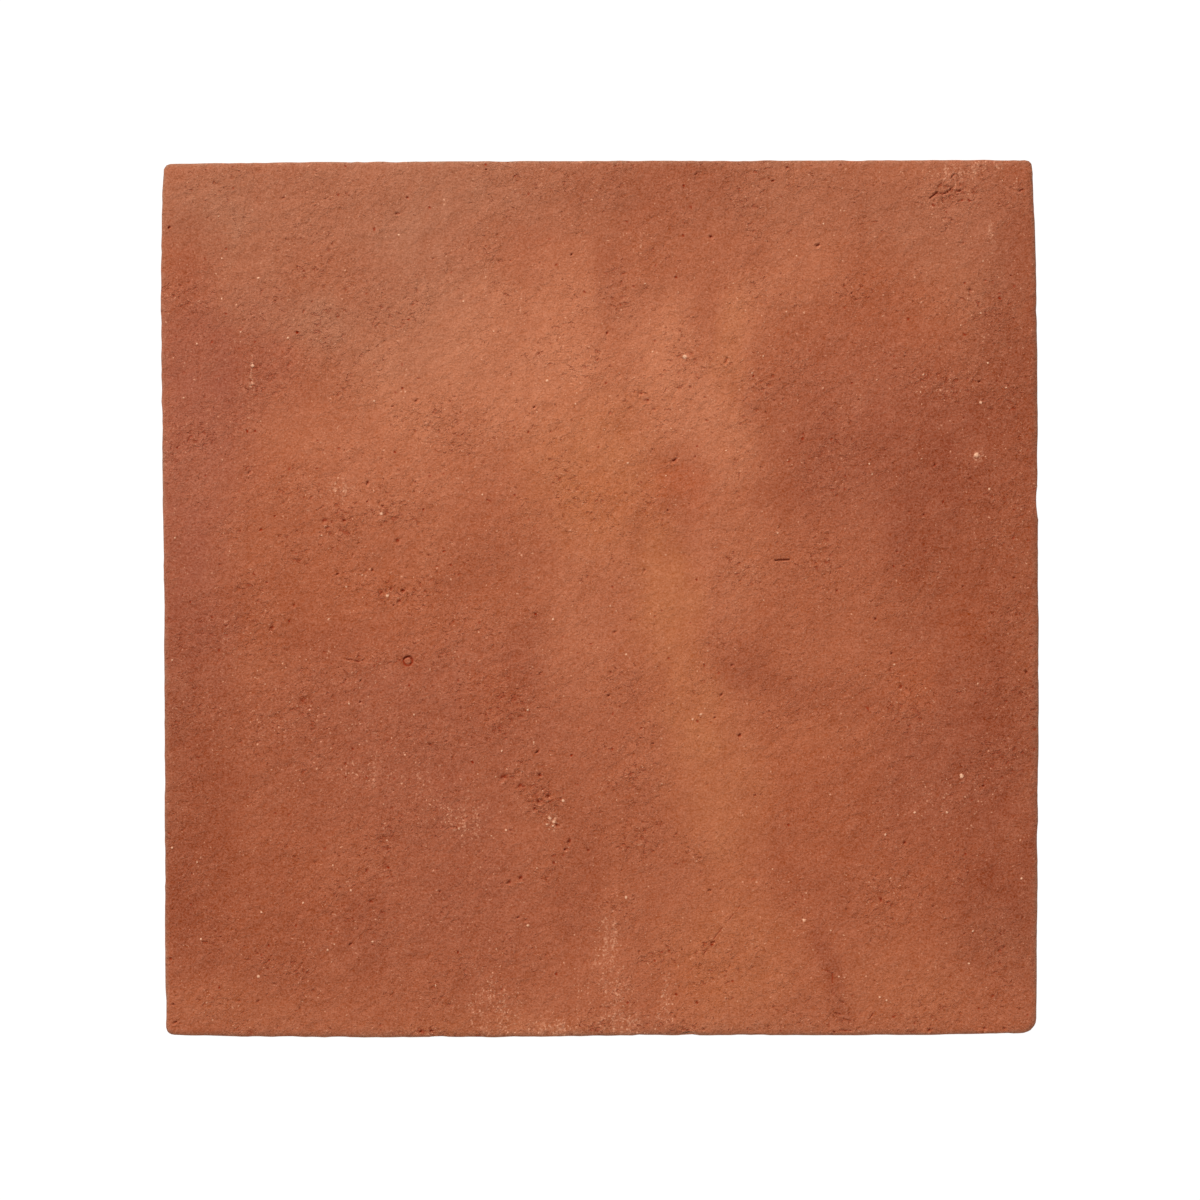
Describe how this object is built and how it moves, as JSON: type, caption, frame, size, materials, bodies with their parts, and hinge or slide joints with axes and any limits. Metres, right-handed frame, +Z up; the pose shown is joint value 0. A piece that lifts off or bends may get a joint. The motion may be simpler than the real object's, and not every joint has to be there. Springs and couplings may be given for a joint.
{
  "type": "terracotta floor tile",
  "caption": "Square hand-moulded terracotta floor tile, unglazed and matt, with uneven sides, softly rounded edges and small chips along its face.",
  "frame": {"origin": "under the middle of the tile, on the plane that its back rests on", "axes": "+Z up, out of the walking face; +X to the right side and +Y to the far side of the tile, as the picture shows it from above"},
  "size_m": [0.2998, 0.2999, 0.02],
  "materials": {
    "terracotta": "unglazed fired clay, dry, matt and finely sandy, mottled from pale orange to brown-red"
  },
  "bodies": {
    "root": {"tile": "terracotta"}
  },
  "joints": []
}
